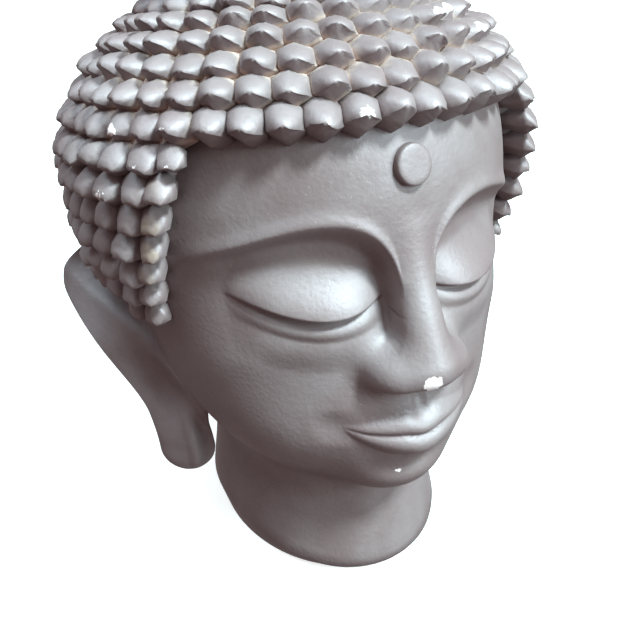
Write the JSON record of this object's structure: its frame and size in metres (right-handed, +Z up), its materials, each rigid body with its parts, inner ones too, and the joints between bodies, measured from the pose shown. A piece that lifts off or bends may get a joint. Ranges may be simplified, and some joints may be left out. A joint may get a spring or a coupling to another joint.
{
  "type": "plaster buddha head",
  "caption": "Tabletop buddha head cast in one piece: flat oval neck foot, calm face with lowered lids, rows of pointed curls over a crown knot, long hanging ears.",
  "frame": {"origin": "centre of the flat oval underside of the neck, on the surface it stands on", "axes": "+Z up, the face looks along -Y, +X to the left hand of the figure"},
  "size_m": [0.2686, 0.2927, 0.3767],
  "materials": {
    "painted_plaster": "grey-brown semi-gloss paint with a pewter sheen on cast plaster, dust in the grooves, white plaster at a few chips"
  },
  "bodies": {
    "root": {"buddha_head": "painted_plaster"}
  },
  "joints": []
}
